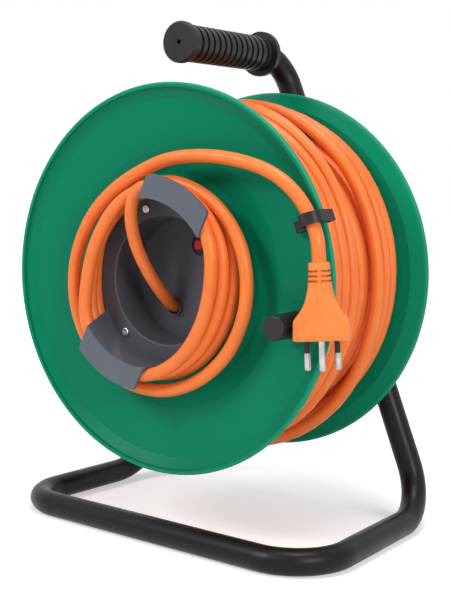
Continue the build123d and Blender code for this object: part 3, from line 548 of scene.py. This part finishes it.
GREEN = srgb(0, 126, 92)
GREEN_WORN = srgb(40, 158, 122)
HUB_GREY = srgb(96, 102, 113)
HUB_WORN = srgb(136, 141, 152)
# Painted shade: the darker colour of the cup and ledge behind the horns' faces.
HUB_PAINTED_SHADE = srgb(80, 81, 89)
PAINT = srgb(14, 14, 15)
PAINT_CHIP = srgb(60, 60, 63)
ORANGE = srgb(244, 124, 54)
ORANGE_WORN = srgb(248, 152, 88)
PLUG_ORANGE = srgb(240, 138, 70)
PLUG_DARKER = srgb(235, 128, 60)
PLUG_WORN = srgb(252, 172, 112)
ZINC = (0.72, 0.73, 0.75)
NICKEL = (0.40, 0.39, 0.37)
# The flanges turn paler between these distances from the axis, towards the lip.
LIP_START = 0.1320
LIP_END = 0.1345
# The cup and ledge behind the horns' faces get painted shade: a darker colour stands in for the shade that
# falls in the cup.
# The colour changes from just behind the faces to the back of the horns' plates.
BEHIND_FACES = 0.0926
BEHIND_PLATES = 0.0905

flange = Surface("flange green", GREEN, 0.40, specular=0.10)
at = flange.position()
reach = flange.distance(at["X"], flange.math("SUBTRACT", at["Z"], AXIS_HEIGHT))
lip = flange.math("MULTIPLY", flange.curve(reach, LIP_START, LIP_END), 0.55)
tint = flange.blend(lip, flange.mottle(GREEN, darker(GREEN, 0.93), 9, 3), GREEN_WORN)
scuff = flange.curve(flange.noise(70, 8, (1, 1, 4), 0.7), 0.62, 0.74)
flange.wear(scuff, 0.25, tint, GREEN_WORN)
flange.rough(flange.uneven(40, 5, 0.35, 0.45))
flange.bump(flange.noise(1400, 2), 0.08, GRAIN_HEIGHT)
flange.bump(flange.noise(26, 2), 0.10, WAVE_HEIGHT)

hub = moulded("hub grey", HUB_GREY, HUB_WORN, 0.42, 2200, 0.22)
# Painted shade: the hub's colour darkens from just behind the horns' faces to the back of their plates.
painted_shade_mask = hub.curve(hub.position()["Y"], MIDDLE_Y - BEHIND_FACES, MIDDLE_Y - BEHIND_PLATES)
hub_own_colour = hub.shader.inputs["Base Color"].links[0].from_socket
hub.colour(hub.blend(painted_shade_mask, hub_own_colour, HUB_PAINTED_SHADE))

black = moulded("black plastic", srgb(34, 33, 35), srgb(70, 70, 74), 0.38, 1800, 0.2)
bearing = moulded("bearing white", srgb(224, 222, 214), srgb(240, 239, 234), 0.35)
terminal = moulded("terminal white", srgb(230, 228, 220), srgb(244, 243, 238), 0.4)
button = moulded("button red", srgb(206, 24, 38), srgb(235, 110, 110), 0.22, 900, 0.05)
sleeve = moulded("sleeve black", srgb(26, 26, 28), srgb(60, 60, 64), 0.25, 900, 0.05)

paint = Surface("black paint", PAINT, 0.26, specular=0.2)
chips = paint.curve(paint.noise(150, 9, (1, 1, 1), 0.75), 0.70, 0.78)
paint.wear(chips, 0.5, PAINT, PAINT_CHIP)
paint.rough(paint.uneven(50, 5, 0.30, 0.42))
paint.bump(paint.noise(420, 3), 0.10, PEEL_HEIGHT)

jacket = Surface("cable jacket", ORANGE, 0.42, specular=0.35)
grime = jacket.curve(jacket.noise(220, 7, (1, 1, 1), 0.7), 0.56, 0.72)
jacket.wear(grime, 0.3, jacket.mottle(ORANGE, darker(ORANGE, 0.93), 45, 4), ORANGE_WORN)
jacket.rough(jacket.uneven(90, 4, 0.34, 0.46))
jacket.bump(jacket.noise(900, 3), 0.12, GRAIN_HEIGHT)

rubber = Surface("plug rubber", PLUG_ORANGE, 0.5, specular=0.25)
rub = rubber.curve(rubber.noise(180, 7, (1, 1, 1), 0.7), 0.55, 0.72)
rubber.wear(rub, 0.35, rubber.mottle(PLUG_ORANGE, PLUG_DARKER, 60, 4), PLUG_WORN)
rubber.rough(rubber.uneven(90, 4, 0.40, 0.52))
rubber.bump(rubber.noise(1500, 2), 0.25, GRAIN_HEIGHT)

zinc = metal("zinc", ZINC, 0.26, (1, 0.15, 1))
nickel = metal("nickel", NICKEL, 0.16, (1, 1, 0.12))

SLOT_MATERIALS = {
    "flange_plastic": flange,
    "hub_plastic": hub,
    "black_plastic": black,
    "bearing_plastic": bearing,
    "terminal_plastic": terminal,
    "button_plastic": button,
    "sleeve_plastic": sleeve,
    "tube_paint": paint,
    "cable_jacket": jacket,
    "plug_rubber": rubber,
    "zinc_steel": zinc,
    "nickel_brass": nickel,
}
for part in frame["record"]["subparts"]:
    cad = frame["nodes"][part["node"]]
    cad.data.materials.clear()
    cad.data.materials.append(SLOT_MATERIALS[part["material_slot"]].material)
for piece, surface in ((lead, jacket), (winding, jacket), (plug, rubber), (spring, zinc)):
    piece.data.materials.append(surface.material)

# ---- Floor, world and lamps ----
FLOOR_REACH = 6
FLOOR_GREY = (0.8, 0.8, 0.8)
# The glow that the floor shows near the reel and far off, and the distances between which it changes.
NEAR_GLOW = 0.46
FAR_GLOW = 1.0
GLOW_START = 0.25
GLOW_END = 0.9
# The world's light on the reel. Where the world itself is seen, it is white.
WORLD_LIGHT = 0.2
TARGET = Vector((0, 0, 0.18))


def seen(nodes, links):
    """One where the camera, a reflection or a refraction looks, and nought where light falls."""
    path = nodes.new("ShaderNodeLightPath")
    last = path.outputs["Is Camera Ray"]
    for name in ("Is Glossy Ray", "Is Transmission Ray"):
        either = nodes.new("ShaderNodeMath")
        either.operation = "MAXIMUM"
        links.new(last, either.inputs[0])
        links.new(path.outputs[name], either.inputs[1])
        last = either.outputs["Value"]
    return last


def lamp(name, location, size, power):
    """A square soft box aimed at the reel."""
    light = bpy.data.lights.new(name, "AREA")
    light.shape = "SQUARE"
    light.size = size
    light.energy = power
    box = add(name, light)
    box.location = location
    box.rotation_euler = (TARGET - Vector(location)).to_track_quat("-Z", "Y").to_euler()


floor_mesh = bpy.data.meshes.new("floor")
corners = [(x * FLOOR_REACH, y * FLOOR_REACH, 0) for x, y in ((-1, -1), (1, -1), (1, 1), (-1, 1))]
floor_mesh.from_pydata(corners, [], [(0, 1, 2, 3)])
floor = add("floor", floor_mesh)
ground = Surface("floor white", FLOOR_GREY, 0.9, specular=0.2)
at = ground.position()
away = ground.distance(at["X"], at["Y"])
glow = ground.curve(away, GLOW_START, GLOW_END, NEAR_GLOW, FAR_GLOW)
glow = ground.math("MULTIPLY", seen(ground.nodes, ground.links), glow)
ground.shader.inputs["Emission Color"].default_value = (1, 1, 1, 1)
ground.links.new(glow, ground.shader.inputs["Emission Strength"])
floor_mesh.materials.append(ground.material)

world = bpy.data.worlds.new("studio")
bpy.context.scene.world = world
world.use_nodes = True
nodes = world.node_tree.nodes
links = world.node_tree.links
background = nodes["Background"]
background.inputs["Color"].default_value = (1, 1, 1, 1)
strength = nodes.new("ShaderNodeMath")
strength.operation = "MULTIPLY_ADD"
strength.inputs[1].default_value = 1 - WORLD_LIGHT
strength.inputs[2].default_value = WORLD_LIGHT
links.new(seen(nodes, links), strength.inputs[0])
links.new(strength.outputs["Value"], background.inputs["Strength"])

lamp("key", (-0.8, -1.5, 1.4), size=0.6, power=20)
lamp("fill", (1.7, -0.9, 0.9), size=0.8, power=18)
lamp("top", (0.3, -0.2, 1.9), size=0.7, power=18)

bpy.context.scene.view_settings.view_transform = "Standard"
